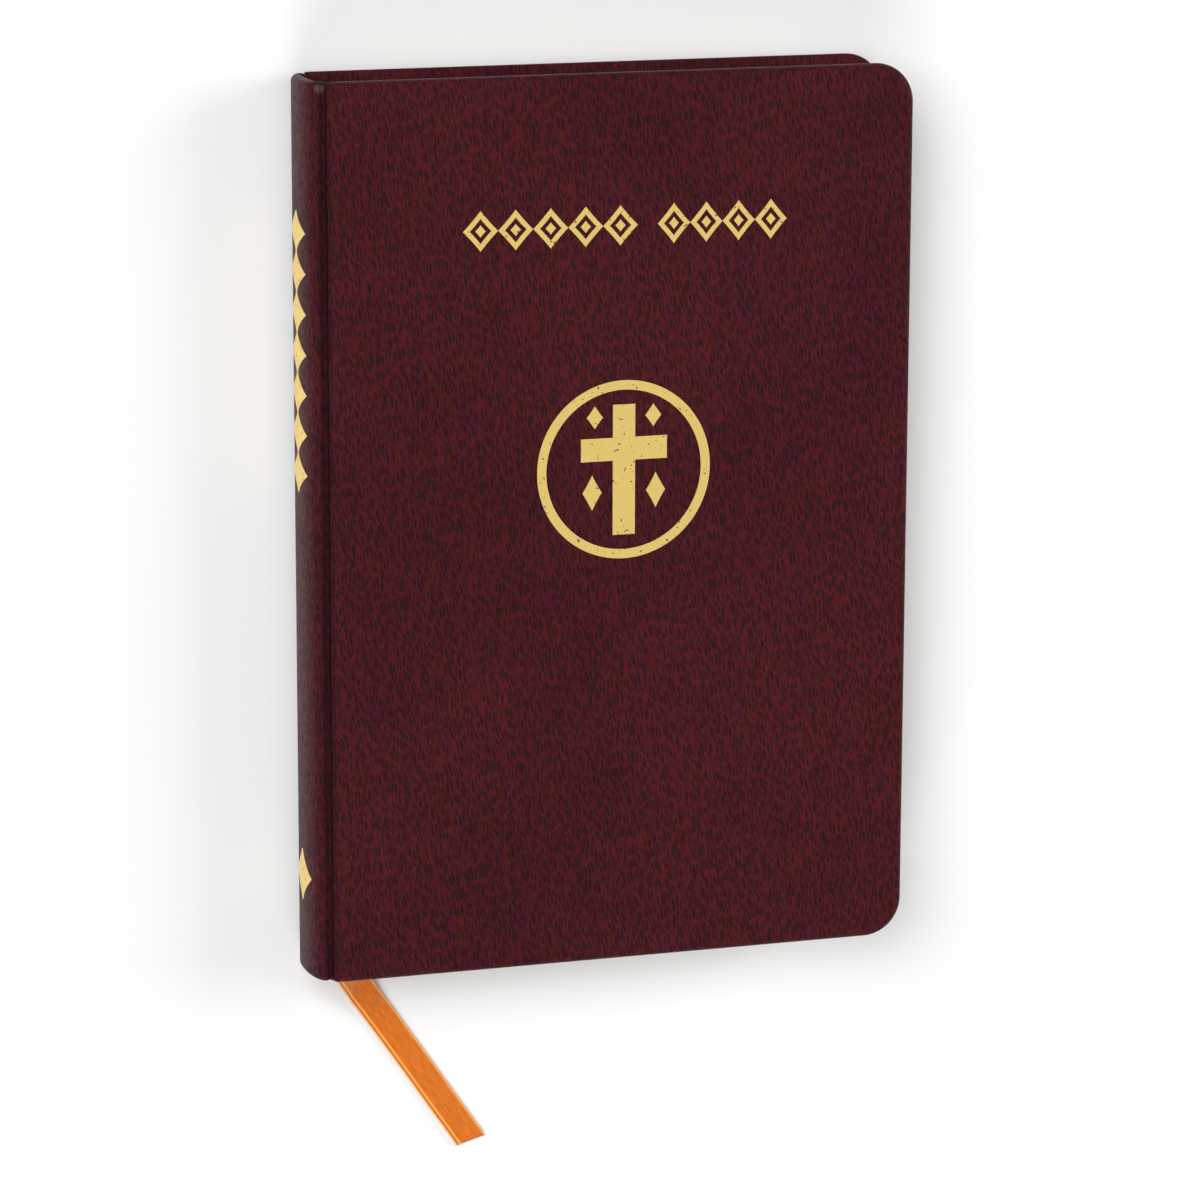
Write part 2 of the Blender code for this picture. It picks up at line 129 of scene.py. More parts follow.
class LeatherSettings(bpy.types.PropertyGroup):
    """Leather of the covers and the spine"""

    ridge_colour: colour_setting(
        "Ridge", "Colour of the raised threads of the grain", (0.079, 0.0092, 0.0185))
    ridge_second: colour_setting(
        "Warm Ridge", "Colour of the ridges where the dye is warmer", (0.084, 0.0105, 0.0115))
    pit_colour: colour_setting("Pit", "Colour down in the pits of the grain", (0.022, 0.0062, 0.0068))
    cell_width: length_setting("Cell Width", "Width of one pit of the grain", 0.62 * MM)
    cell_length: length_setting("Cell Length", "Length of one pit of the grain", 2.9 * MM)
    slant: bpy.props.FloatProperty(
        name="Slant", description="Turn of the grain from the height of the book",
        subtype="ANGLE", default=math.radians(-11),
    )
    thickness: length_setting("Thickness", "Thickness of the leather", 0.4 * MM)
    edge_round: length_setting("Edge Rounding", "Rounding of the outer edges of the covers", 1.1 * MM)
    corner: length_setting("Corner Radius", "Radius of the round corners at the fore edge", 7.5 * MM)
    turn_in: length_setting("Turn-in", "Width of the leather turned over to the inside", 12 * MM)


class FoilSettings(bpy.types.PropertyGroup):
    """Gold foil"""

    colour: colour_setting("Foil", "Colour of the foil", (0.95, 0.72, 0.24))
    roughness: share_setting("Roughness", "Roughness of the foil", 0.36)
    metallic: share_setting("Metallic", "Share of the foil that reflects as metal", 0.45)


class RibbonSettings(bpy.types.PropertyGroup):
    """Satin ribbon marker"""

    colour: colour_setting("Satin", "Colour of the satin", (0.76, 0.195, 0.013))
    edge_colour: colour_setting("Selvedge", "Colour of the woven edges", (1.0, 0.46, 0.09))
    width: length_setting("Width", "Width of the ribbon", 6 * MM)
    thickness: length_setting("Thickness", "Thickness of the ribbon", 0.26 * MM)


class PaperSettings(bpy.types.PropertyGroup):
    """Pages and endpapers"""

    page_colour: colour_setting("Page", "Colour of the pages", (0.79, 0.74, 0.62))
    endpaper_colour: colour_setting("Endpaper", "Colour of the pastedowns and flyleaves", (0.74, 0.68, 0.56))
    leaves: bpy.props.IntProperty(
        name="Leaves", description="Leaves shown in each gathering", min=2, default=8,
    )
    corner: length_setting("Page Corner", "Radius of the pages' round corners", 6 * MM)


class StageSettings(bpy.types.PropertyGroup):
    """Floor and light"""

    floor_colour: colour_setting("Floor", "Colour of the floor", (0.90, 0.90, 0.90))
    key: power_setting("Key", "Power of the main light", 30.0)
    fill: power_setting("Fill", "Power of the fill light", 22.0)
    rim: power_setting("Rim", "Power of the rim light", 22.0)
    sky: bpy.props.FloatProperty(name="Sky", description="Strength of the light all round", default=0.12)


# ---------------- modelling helpers


def only(piece):
    """Leaves one object selected and active."""
    bpy.ops.object.select_all(action="DESELECT")
    piece.select_set(True)
    bpy.context.view_layer.objects.active = piece


@contextmanager
def editing(piece):
    only(piece)
    bpy.ops.object.mode_set(mode="EDIT")
    yield
    bpy.ops.object.mode_set(mode="OBJECT")


def pick(piece, kind, rule):
    """In edit mode, selects only the vertices, edges or faces that a rule picks."""
    bpy.ops.mesh.select_mode(type=kind)
    bpy.ops.mesh.select_all(action="DESELECT")
    shape = bmesh.from_edit_mesh(piece.data)
    groups = {"VERT": shape.verts, "EDGE": shape.edges, "FACE": shape.faces}
    for item in groups[kind]:
        if rule(item):
            item.select_set(True)
    shape.select_flush_mode()
    bmesh.update_edit_mesh(piece.data)


def add_block(name, low, high):
    """A box between two corners, with its place in its mesh."""
    bpy.ops.object.select_all(action="DESELECT")
    size = high - low
    bpy.ops.mesh.primitive_cube_add(size=1, location=(low + high) / 2)
    block = bpy.context.object
    block.scale = size
    bpy.ops.object.transform_apply(location=True, rotation=True, scale=True)
    block.name = name
    return block


def add_sheet(name, columns, rows, place):
    """A grid laid along a surface: place(u, v) gives each point for u and v from 0 to 1."""
    bpy.ops.object.select_all(action="DESELECT")
    bpy.ops.mesh.primitive_grid_add(x_subdivisions=columns, y_subdivisions=rows, size=1)
    sheet = bpy.context.object
    sheet.name = name
    for point in sheet.data.vertices:
        point.co = place(point.co.x + 0.5, point.co.y + 0.5)
    return sheet


def apply_modifier(piece, kind, **settings):
    """Adds a modifier with its settings and applies it."""
    only(piece)
    modifier = piece.modifiers.new(kind.lower(), kind)
    for key, value in settings.items():
        setattr(modifier, key, value)
    bpy.ops.object.modifier_apply(modifier=modifier.name)


def outward(piece):
    """Points the faces of a closed piece outwards."""
    with editing(piece):
        bpy.ops.mesh.select_all(action="SELECT")
        bpy.ops.mesh.normals_make_consistent(inside=False)


def face_towards(sheet, direction):
    """Turns an open sheet so that the face at its middle looks in a direction."""
    middle = sheet.data.polygons[len(sheet.data.polygons) // 2]
    if middle.normal.dot(direction) < 0:
        with editing(sheet):
            bpy.ops.mesh.select_all(action="SELECT")
            bpy.ops.mesh.flip_normals()


def smooth(piece, degrees=40):
    only(piece)
    bpy.ops.object.shade_smooth_by_angle(angle=math.radians(degrees))


def thicken(piece, thickness, offset=-1.0):
    """Gives a sheet its thickness."""
    apply_modifier(piece, "SOLIDIFY", thickness=thickness, offset=offset)
    outward(piece)


def dress(piece, material, slot):
    piece.data.materials.clear()
    piece.data.materials.append(material)


def turn_over(piece):
    """Mirrors a piece from the front of the book to the back."""
    piece.data.transform(Matrix.Translation((0, 0, TOP)) @ Matrix.Scale(-1, 4, (0, 0, 1)))
    outward(piece)


def along(points, share):
    """The point at a share of the way along a line of points."""
    lengths = [(Vector(b) - Vector(a)).length for a, b in zip(points, points[1:])]
    left = share * sum(lengths)
    for number, length in enumerate(lengths):
        if left <= length or number == len(lengths) - 1:
            return Vector(points[number]).lerp(Vector(points[number + 1]), min(1.0, left / length))
        left -= length


def smooth_route(points, share):
    """A smooth curve through points, at a share from 0 to 1 of its run."""
    spans = len(points) - 1
    at = min(share * spans, spans - 1e-6)
    start = int(at)
    t = at - start
    first = Vector(points[start])
    second = Vector(points[start + 1])
    before = Vector(points[start - 1]) if start else first * 2 - second
    after = Vector(points[start + 2]) if start + 2 < len(points) else second * 2 - first
    return 0.5 * (
        2 * first + (second - before) * t
        + (2 * before - 5 * first + 4 * second - after) * t ** 2
        + (3 * first - 3 * second + after - before) * t ** 3
    )


# ---------------- material helpers


def wire(tree, node, inputs):
    """Links each input that is given a socket and sets any other."""
    for key, value in inputs.items():
        if isinstance(value, bpy.types.NodeSocket):
            tree.links.new(value, node.inputs[key])
        else:
            node.inputs[key].default_value = value


def put(tree, kind, inputs=None, **settings):
    made = tree.nodes.new(kind)
    for key, value in settings.items():
        setattr(made, key, value)
    wire(tree, made, inputs or {})
    return made


def maths(tree, operation, first, second=0.5):
    return put(tree, "ShaderNodeMath", {0: first, 1: second}, operation=operation).outputs[0]


def times(tree, first, second):
    return maths(tree, "MULTIPLY", first, second)


def plus(tree, first, second):
    return maths(tree, "ADD", first, second)


def inverse(tree, value):
    return maths(tree, "SUBTRACT", 1.0, value)


def scaled(tree, value, share, start):
    """A value times a share, plus a start."""
    return plus(tree, times(tree, value, share), start)


def away_from(tree, value, middle):
    return maths(tree, "ABSOLUTE", maths(tree, "SUBTRACT", value, middle))


def vector_maths(tree, operation, first, second):
    return put(tree, "ShaderNodeVectorMath", {0: first, 1: second}, operation=operation)


def cloudy(tree, place, scale, detail, **inputs):
    """A value from 0 to 1 that wanders with the place."""
    given = {"Vector": place, "Scale": scale, "Detail": detail, **inputs}
    return put(tree, "ShaderNodeTexNoise", given).outputs[0]


def axes_of(tree, vector):
    return put(tree, "ShaderNodeSeparateXYZ", {"Vector": vector}).outputs


def ramp(tree, value, low, high):
    """0 below low, 1 above high and smooth between them."""
    given = {"Value": value, "From Min": low, "From Max": high}
    return put(tree, "ShaderNodeMapRange", given, interpolation_type="SMOOTHSTEP").outputs["Result"]


def blend_colour(tree, share, first, second, kind="MIX"):
    first, second = ((*side, 1) if isinstance(side, tuple) else side for side in (first, second))
    mixed = put(tree, "ShaderNodeMix", {0: share, 6: first, 7: second}, data_type="RGBA", blend_type=kind)
    return mixed.outputs[2]


def tinted(colour, shares):
    return tuple(channel * share for channel, share in zip(colour, shares))


def new_material(name):
    """A new material, its tree, its shader and the place on the object."""
    made = bpy.data.materials.new(name)
    made.use_nodes = True
    tree = made.node_tree
    return made, tree, tree.nodes["Principled BSDF"], put(tree, "ShaderNodeTexCoord").outputs["Object"]


def bump(tree, height, distance, strength):
    given = {"Height": height, "Distance": distance, "Strength": strength}
    return put(tree, "ShaderNodeBump", given).outputs[0]


def new_group(name, inputs, outputs):
    """An empty node group: its tree, the values given to it and its output node."""
    group = bpy.data.node_groups.new(name, "ShaderNodeTree")
    for label in inputs:
        kind = "NodeSocketVector" if label == "Vector" else "NodeSocketFloat"
        group.interface.new_socket(label, in_out="INPUT", socket_type=kind)
    for label in outputs:
        group.interface.new_socket(label, in_out="OUTPUT", socket_type="NodeSocketFloat")
    return group, group.nodes.new("NodeGroupInput").outputs, group.nodes.new("NodeGroupOutput")


def use_group(tree, group, inputs):
    return put(tree, "ShaderNodeGroup", inputs, node_tree=group).outputs


def grain_group():
    """Long pits between raised threads, as on fine embossed leather."""
    name = "Leather Grain"
    if name in bpy.data.node_groups:
        return bpy.data.node_groups[name]
    inputs = ("Vector", "Cell Width", "Cell Length", "Slant", "Swirl")
    tree, given, out = new_group(name, inputs, ("Height", "Pit", "Dye"))
    swirl = put(tree, "ShaderNodeTexNoise", {"Vector": given["Vector"], "Scale": 90.0, "Detail": 2.0})
    centred = vector_maths(tree, "SUBTRACT", swirl.outputs["Color"], (0.5, 0.5, 0.5)).outputs[0]
    wide = times(tree, given["Swirl"], 4.0)
    pushed = put(tree, "ShaderNodeVectorMath", {0: centred, "Scale": wide}, operation="SCALE").outputs[0]
    bent = vector_maths(tree, "ADD", given["Vector"], pushed).outputs[0]
    turned = put(
        tree, "ShaderNodeVectorRotate", {"Vector": bent, "Angle": given["Slant"]}, rotation_type="Z_AXIS",
    ).outputs[0]
    across = maths(tree, "DIVIDE", 1.0, given["Cell Width"])
    down = maths(tree, "DIVIDE", 1.0, given["Cell Length"])
    stretch = put(tree, "ShaderNodeCombineXYZ", {"X": across, "Y": down, "Z": across}).outputs[0]
    cells = vector_maths(tree, "MULTIPLY", turned, stretch).outputs[0]
    edge = put(
        tree, "ShaderNodeTexVoronoi", {"Vector": cells, "Scale": 1.0, "Randomness": 0.95},
        feature="DISTANCE_TO_EDGE",
    ).outputs["Distance"]
    threads = maths(tree, "SUBTRACT", cloudy(tree, cells, 1.3, 3.0, Roughness=0.6), 0.5)
    pit = ramp(tree, plus(tree, edge, times(tree, threads, 0.7)), -0.1, 0.3)
    fine = times(tree, cloudy(tree, cells, 6.0, 2.0), 0.25)
    wire(tree, out, {
        "Height": plus(tree, inverse(tree, pit), fine), "Pit": pit,
        "Dye": ramp(tree, cloudy(tree, cells, 0.35, 3.0), 0.38, 0.66),
    })
    return tree


def fibre_group():
    """The faint cloudy look of paper and board."""
    name = "Paper Fibre"
    if name in bpy.data.node_groups:
        return bpy.data.node_groups[name]
    tree, given, out = new_group(name, ("Vector", "Scale"), ("Cloud", "Fibre"))
    wire(tree, out, {
        "Cloud": cloudy(tree, given["Vector"], 45.0, 4.0),
        "Fibre": cloudy(tree, given["Vector"], given["Scale"], 5.0, Distortion=1.2),
    })
    return tree


def weave_group():
    """Over and under threads of a plain cloth, as a height."""
    name = "Plain Weave"
    if name in bpy.data.node_groups:
        return bpy.data.node_groups[name]
    tree, given, out = new_group(name, ("Vector", "Warp", "Weft"), ("Height",))
    axes = axes_of(tree, given["Vector"])
    warp = maths(tree, "SINE", times(tree, axes["X"], given["Warp"]))
    weft = maths(tree, "SINE", times(tree, axes["Y"], given["Weft"]))
    wire(tree, out, {"Height": scaled(tree, times(tree, warp, weft), 0.5, 0.5)})
    return tree


# ---------------- materials


def leather_grain(tree, place):
    """The grain that the leather and the foil on it share."""
    leather = bpy.context.scene.prayer_book_leather
    return use_group(tree, grain_group(), {
        "Vector": place, "Cell Width": leather.cell_width, "Cell Length": leather.cell_length,
        "Slant": leather.slant, "Swirl": 0.35 * MM,
    })


def leather_material():
    """Dark red leather with long pits, with painted shade darkening it along the joint groove and a painted
    pale highlight at the groove's head.
    """
    name = "grained_red_leather"
    if name in bpy.data.materials:
        return bpy.data.materials[name]
    made, tree, shader, place = new_material(name)
    leather = bpy.context.scene.prayer_book_leather
    grain = leather_grain(tree, place)
    ridge = blend_colour(tree, grain["Dye"], tuple(leather.ridge_colour), tuple(leather.ridge_second))
    colour = blend_colour(tree, grain["Pit"], ridge, tuple(leather.pit_colour))
    patches = cloudy(tree, place, 28.0, 8.0)
    clouds = scaled(tree, ramp(tree, patches, 0.3, 0.7), 0.24, 0.88)
    # Painted shade: the leather is painted darker towards the middle line of the joint groove, where shade
    # falls
    from_joint = away_from(tree, axes_of(tree, place)["X"], GROOVE_SHADE_X)
    groove_shade = scaled(tree, ramp(tree, from_joint, 0.1 * MM, 1.7 * MM), 0.55, 0.45)
    shade = times(tree, clouds, groove_shade)
    shade_colour = put(tree, "ShaderNodeCombineColor", {0: shade, 1: shade, 2: shade}).outputs[0]
    dye_and_groove_shade = blend_colour(tree, 1.0, colour, shade_colour, "MULTIPLY")
    # Painted highlight: a ragged pale grey patch at the head of the joint groove, weaker in the pits of the
    # grain
    from_highlight = vector_maths(tree, "DISTANCE", place, HEAD_HIGHLIGHT_PLACE).outputs["Value"]
    ragged = plus(tree, from_highlight, times(tree, maths(tree, "SUBTRACT", patches, 0.5), 3 * MM))
    head_highlight = inverse(tree, ramp(tree, ragged, 0.0, 1.4 * MM))
    pale = times(tree, head_highlight, inverse(tree, times(tree, grain["Pit"], 0.6)))
    wire(tree, shader, {
        "Base Color": blend_colour(tree, times(tree, pale, 0.6), dye_and_groove_shade, (0.20, 0.15, 0.15)),
        "Roughness": scaled(tree, grain["Pit"], 0.16, 0.42),
        "Specular IOR Level": 0.2, "Specular Tint": (0.5, 0.25, 0.28, 1),
        "Normal": bump(tree, grain["Height"], 0.05 * MM, 0.4),
    })
    return made


def foil_material():
    """Satin gold foil pressed into the leather, thin in a few specks."""
    name = "satin_gold"
    if name in bpy.data.materials:
        return bpy.data.materials[name]
    made, tree, shader, place = new_material(name)
    foil = bpy.context.scene.prayer_book_foil
    grain = leather_grain(tree, place)
    bare = ramp(tree, cloudy(tree, place, 1300.0, 2.0), 0.66, 0.71)
    gold = blend_colour(tree, grain["Pit"], tuple(foil.colour), tinted(foil.colour, (0.93, 0.86, 0.70)))
    wire(tree, shader, {
        "Base Color": blend_colour(tree, bare, gold, (0.16, 0.07, 0.03)),
        "Metallic": times(tree, inverse(tree, bare), foil.metallic),
        "Roughness": scaled(tree, grain["Pit"], 0.12, foil.roughness),
        "Normal": bump(tree, grain["Height"], 0.05 * MM, 0.4),
    })
    return made


def satin_material():
    """Satin ribbon: fine ribs across, a stitched edge on each side, one of them pale, and a pulled thread."""
    name = "ribbed_orange_satin"
    if name in bpy.data.materials:
        return bpy.data.materials[name]
    made, tree, shader, _ = new_material(name)
    ribbon = bpy.context.scene.prayer_book_ribbon
    satin, bright = tuple(ribbon.colour), tuple(ribbon.edge_colour)
    uv = put(tree, "ShaderNodeUVMap").outputs["UV"]
    across, down = axes_of(tree, uv)[:2]
    from_middle = away_from(tree, across, 0.5)
    selvedge = ramp(tree, from_middle, 0.425, 0.445)
    long_threads = put(tree, "ShaderNodeCombineXYZ", {
        "X": times(tree, across, 26.0), "Y": times(tree, down, 16.0),
    }).outputs[0]
    streak = ramp(tree, cloudy(tree, long_threads, 1.0, 5.0, Roughness=0.65), 0.3, 0.7)
    cords = use_group(tree, weave_group(), {"Vector": uv, "Warp": 200.0, "Weft": 520.0})["Height"]
    stitch_row = inverse(tree, ramp(tree, away_from(tree, from_middle, 0.435), 0.008, 0.02))
    stitches = times(tree, stitch_row, ramp(tree, maths(tree, "SINE", times(tree, down, 520.0)), -0.2, 0.5))
    line = inverse(tree, ramp(tree, away_from(tree, across, 0.17), 0.012, 0.05))
    rim = inverse(tree, ramp(tree, across, 0.035, 0.085))
    body = blend_colour(tree, streak, tinted(satin, (0.70, 0.58, 0.5)), satin)
    lit = blend_colour(tree, times(tree, line, 0.75), body, bright)
    edged = blend_colour(tree, selvedge, lit, blend_colour(tree, cords, satin, bright))
    stitched = blend_colour(tree, times(tree, stitches, 0.8), edged, (0.30, 0.075, 0.012))
    ribs = times(tree, maths(tree, "SINE", times(tree, down, 900.0)), 0.12)
    height = plus(tree, ribs, plus(tree, times(tree, cords, selvedge), line))
    wire(tree, shader, {
        "Base Color": blend_colour(tree, times(tree, rim, 0.75), stitched, (0.93, 0.80, 0.62)),
        "Roughness": scaled(tree, selvedge, 0.25, 0.38),
        "Sheen Weight": 0.25, "Sheen Roughness": 0.4, "Specular IOR Level": 0.4,
        "Normal": bump(tree, height, 0.06 * MM, 0.6),
    })
    return made


def paper_material(name, colour, edge_lines=False):
    """Paper or board; on the edges of the pages, the lines of the single leaves."""
    if name in bpy.data.materials:
        return bpy.data.materials[name]
    made, tree, shader, place = new_material(name)
    fibre = use_group(tree, fibre_group(), {"Vector": place, "Scale": 900.0})
    darker = tinted(colour, (0.965, 0.95, 0.915))
    clouded = blend_colour(tree, ramp(tree, fibre["Cloud"], 0.35, 0.65), colour, darker)
    height = times(tree, fibre["Fibre"], 0.4)
    if edge_lines:
        flat = put(tree, "ShaderNodeMapping", {"Vector": place, "Scale": (25.0, 25.0, 14000.0)}).outputs[0]
        line = ramp(tree, cloudy(tree, flat, 1.0, 1.0), 0.42, 0.62)
        up = axes_of(tree, put(tree, "ShaderNodeNewGeometry").outputs["Normal"])["Z"]
        on_edge = inverse(tree, ramp(tree, maths(tree, "ABSOLUTE", up), 0.4, 0.8))
        shadow = tinted(colour, (0.66, 0.60, 0.50))
        clouded = blend_colour(tree, times(tree, line, on_edge), clouded, shadow)
        height = plus(tree, height, times(tree, line, -1.0))
    wire(tree, shader, {
        "Base Color": clouded, "Roughness": scaled(tree, fibre["Fibre"], 0.15, 0.72),
        "Specular IOR Level": 0.25, "Normal": bump(tree, height, 0.03 * MM, 0.5),
    })
    return made


def cloth_material(name, colour, pitch, roughness=0.85):
    """Plain woven cloth or twisted thread."""
    if name in bpy.data.materials:
        return bpy.data.materials[name]
    made, tree, shader, place = new_material(name)
    given = {"Vector": place, "Rotation": (0, math.radians(90), 0)}
    turned = put(tree, "ShaderNodeMapping", given).outputs[0]
    turns = math.tau / pitch
    weave = use_group(tree, weave_group(), {"Vector": turned, "Warp": turns, "Weft": turns})["Height"]
    wire(tree, shader, {
        "Base Color": blend_colour(tree, weave, tinted(colour, (0.6, 0.6, 0.6)), colour),
        "Roughness": scaled(tree, cloudy(tree, place, 600.0, 3.0), 0.15, roughness - 0.1),
        "Normal": bump(tree, weave, 0.08 * MM, 0.7),
    })
    return made


def floor_material():
    """Pale matt floor with a very faint mottling."""
    made, tree, shader, place = new_material("studio_floor")
    colour = tuple(bpy.context.scene.prayer_book_stage.floor_colour)
    shade = tinted(colour, (0.985, 0.985, 0.985))
    wire(tree, shader, {
        "Base Color": blend_colour(tree, cloudy(tree, place, 3.0, 2.0), colour, shade),
        "Roughness": 0.9, "Specular IOR Level": 0.1,
    })
    return made


# ---------------- camera and ribbon

RIBBON_INNER_ROUTE = (
    (-0.0525, 0.0810, 0.00923), (-0.0502, -0.0825, 0.00923), (-0.0499, -0.0847, 0.00873),
    (-0.0496, -0.0873, 0.00703), (-0.0495, -0.0875, 0.00683),
)
RIBBON_ROUTE = (
    (-0.0495, -0.0875, 0.00683), (-0.0474, -0.0904, 0.0036), (-0.0455, -0.0932, 0.0015),
    (-0.0433, -0.0963, 0.00045), (-0.0408, -0.0999, 0.0003), (-0.0373, -0.1051, 0.0003),
    (-0.0337, -0.11045, 0.0003), (-0.0303, -0.1156, 0.0003), (-0.0269, -0.1207, 0.0003),
    (-0.0235, -0.1258, 0.0003),
)
ACROSS_PAGE = Vector((1, 0, 0))
ACROSS_FLOOR = Vector((0.829, 0.560, 0))
FLOOR_HEADING = Vector((0.560, -0.829, 0))

# Shares of each length between which the width turns from the page to the floor
INNER_TURN = (0.965, 1.023)
FREE_TURN = (-0.15, 0.10)

# The camera, fitted to the edges of the covers and of the spine
CAMERA_PLACE = (-0.2868, 0.1964, 0.9096)
CAMERA_TURN = tuple(math.radians(angle) for angle in (-12.707, -17.675, 0.171))
CAMERA_LENS = 151.82


class BOOK_OT_camera(bpy.types.Operator):
    """Adds the camera above the book, towards its head and its spine"""

    bl_idname = "prayer_book.camera"
    bl_label = "Camera"

    def execute(self, context):
        bpy.ops.object.camera_add(location=CAMERA_PLACE)
        camera = context.object
        camera.name = "camera"
        camera.rotation_mode = "ZXY"
        camera.rotation_euler = CAMERA_TURN
        camera.data.sensor_width = 36
        camera.data.lens = CAMERA_LENS
        camera.data.clip_start = 0.01
        context.scene.camera = camera
        return {"FINISHED"}


class BOOK_OT_ribbon(bpy.types.Operator):
    """Lays the ribbon marker between the pages, over the tail and along the floor"""

    bl_idname = "prayer_book.ribbon"
    bl_label = "Ribbon"

    def lay(self, name, path, rows, turning):
        """A flat strip along a path; its width turns from across the page to across the floor."""
        ribbon = bpy.context.scene.prayer_book_ribbon
        half = ribbon.width / 2
        start, end = turning

        def place(u, v):
            centre = path(v)
            turn = min(1.0, max(0.0, (v - start) / (end - start)))
            across = ACROSS_PAGE.lerp(ACROSS_FLOOR, turn).normalized()
            side = 2 * u - 1
            cup = 0.1 * MM * side ** 2
            return centre + across * side * half + Vector((0, 0, cup))

        return add_sheet(name, 14, rows, place)

    def execute(self, context):
        ribbon = context.scene.prayer_book_ribbon
        inner = self.lay("ribbon_between_pages", lambda v: along(RIBBON_INNER_ROUTE, v), 120, INNER_TURN)
        thicken(inner, ribbon.thickness, 0.0)
        free = self.lay("ribbon_marker", lambda v: smooth_route(RIBBON_ROUTE, v), 110, FREE_TURN)
        self.cut_end(free)
        thicken(free, ribbon.thickness, 0.0)
        for piece in (inner, free):
            smooth(piece)
            dress(piece, satin_material(), "orange_satin_ribbon")
        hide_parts("ribbon_inner")
        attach(inner, "back_half")
        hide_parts("ribbon_tail", "ribbon_tip")
        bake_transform(free)
        path = [smooth_route(RIBBON_ROUTE, step / 40) for step in range(41)]
        length = sum((after - before).length for before, after in zip(path, path[1:]))
        [tuple(point) for point in path]
        return {"FINISHED"}

    def cut_end(self, piece):
        """Slants the cut end a little."""
        end = Vector(RIBBON_ROUTE[-1])
        reach = 4 * MM
        for point in piece.data.vertices:
            behind = (point.co - end).dot(FLOOR_HEADING)
            if behind > -reach:
                side = (point.co - end).dot(ACROSS_FLOOR)
                share = (behind + reach) / reach
                point.co += FLOOR_HEADING * share * side * 0.33


# ---------------- leather


SPINE_ROUND = 3.0 * MM
SPINE_SQUARENESS = 2.4

# How far the leather rolls in at the head and the tail of the spine
ROLL_WIDTH = 2.0 * MM

# The joint in millimetres: depth from the spine and rise from the bottom of the groove
JOINT_SECTION = (
    (2.3, -0.12), (2.8, -0.03), (3.1, 0.02), (3.35, 0.07), (3.55, 0.2), (3.72, 0.45), (3.8, 0.9),
)


def spine_section():
    """The round of the spine from the back joint to the front one: depth inwards and height."""
    half = GROOVE_Z - MIDDLE
    section = []
    for step in range(-36, 37):
        turn = math.pi / 2 * step / 36
        rise = abs(math.sin(turn)) ** (2 / SPINE_SQUARENESS)
        depth = SPINE_ROUND * (1 - math.cos(turn) ** (2 / SPINE_SQUARENESS))
        section.append((depth, math.copysign(half * rise, turn)))
    return section


def rolled_end(length, radius, width):
    """How leather rolls over the end of a board or spine: steps inwards and along."""
    path = [(0, length - radius * 2.5), (0, length - radius * 1.5)]
    for step in range(9):
        turn = math.pi / 2 * step / 8
        path.append((radius * (1 - math.cos(turn)), length - radius * (1 - math.sin(turn))))
    path += [(width - 0.3 * MM, length - 0.06 * MM), (width - 0.08 * MM, length - 0.2 * MM)]
    path += [(width, length - 0.5 * MM), (width, length - 2.2 * MM)]
    return path


def both_ends(length, radius, width, count):
    """The same roll at both ends, with steps along the flat between them."""
    end = rolled_end(length, radius, width)
    reach = end[0][1]
    flat = [(0, -reach + 2 * reach * step / count) for step in range(1, count)]
    return [(inwards, -along) for inwards, along in end[::-1]] + flat + end


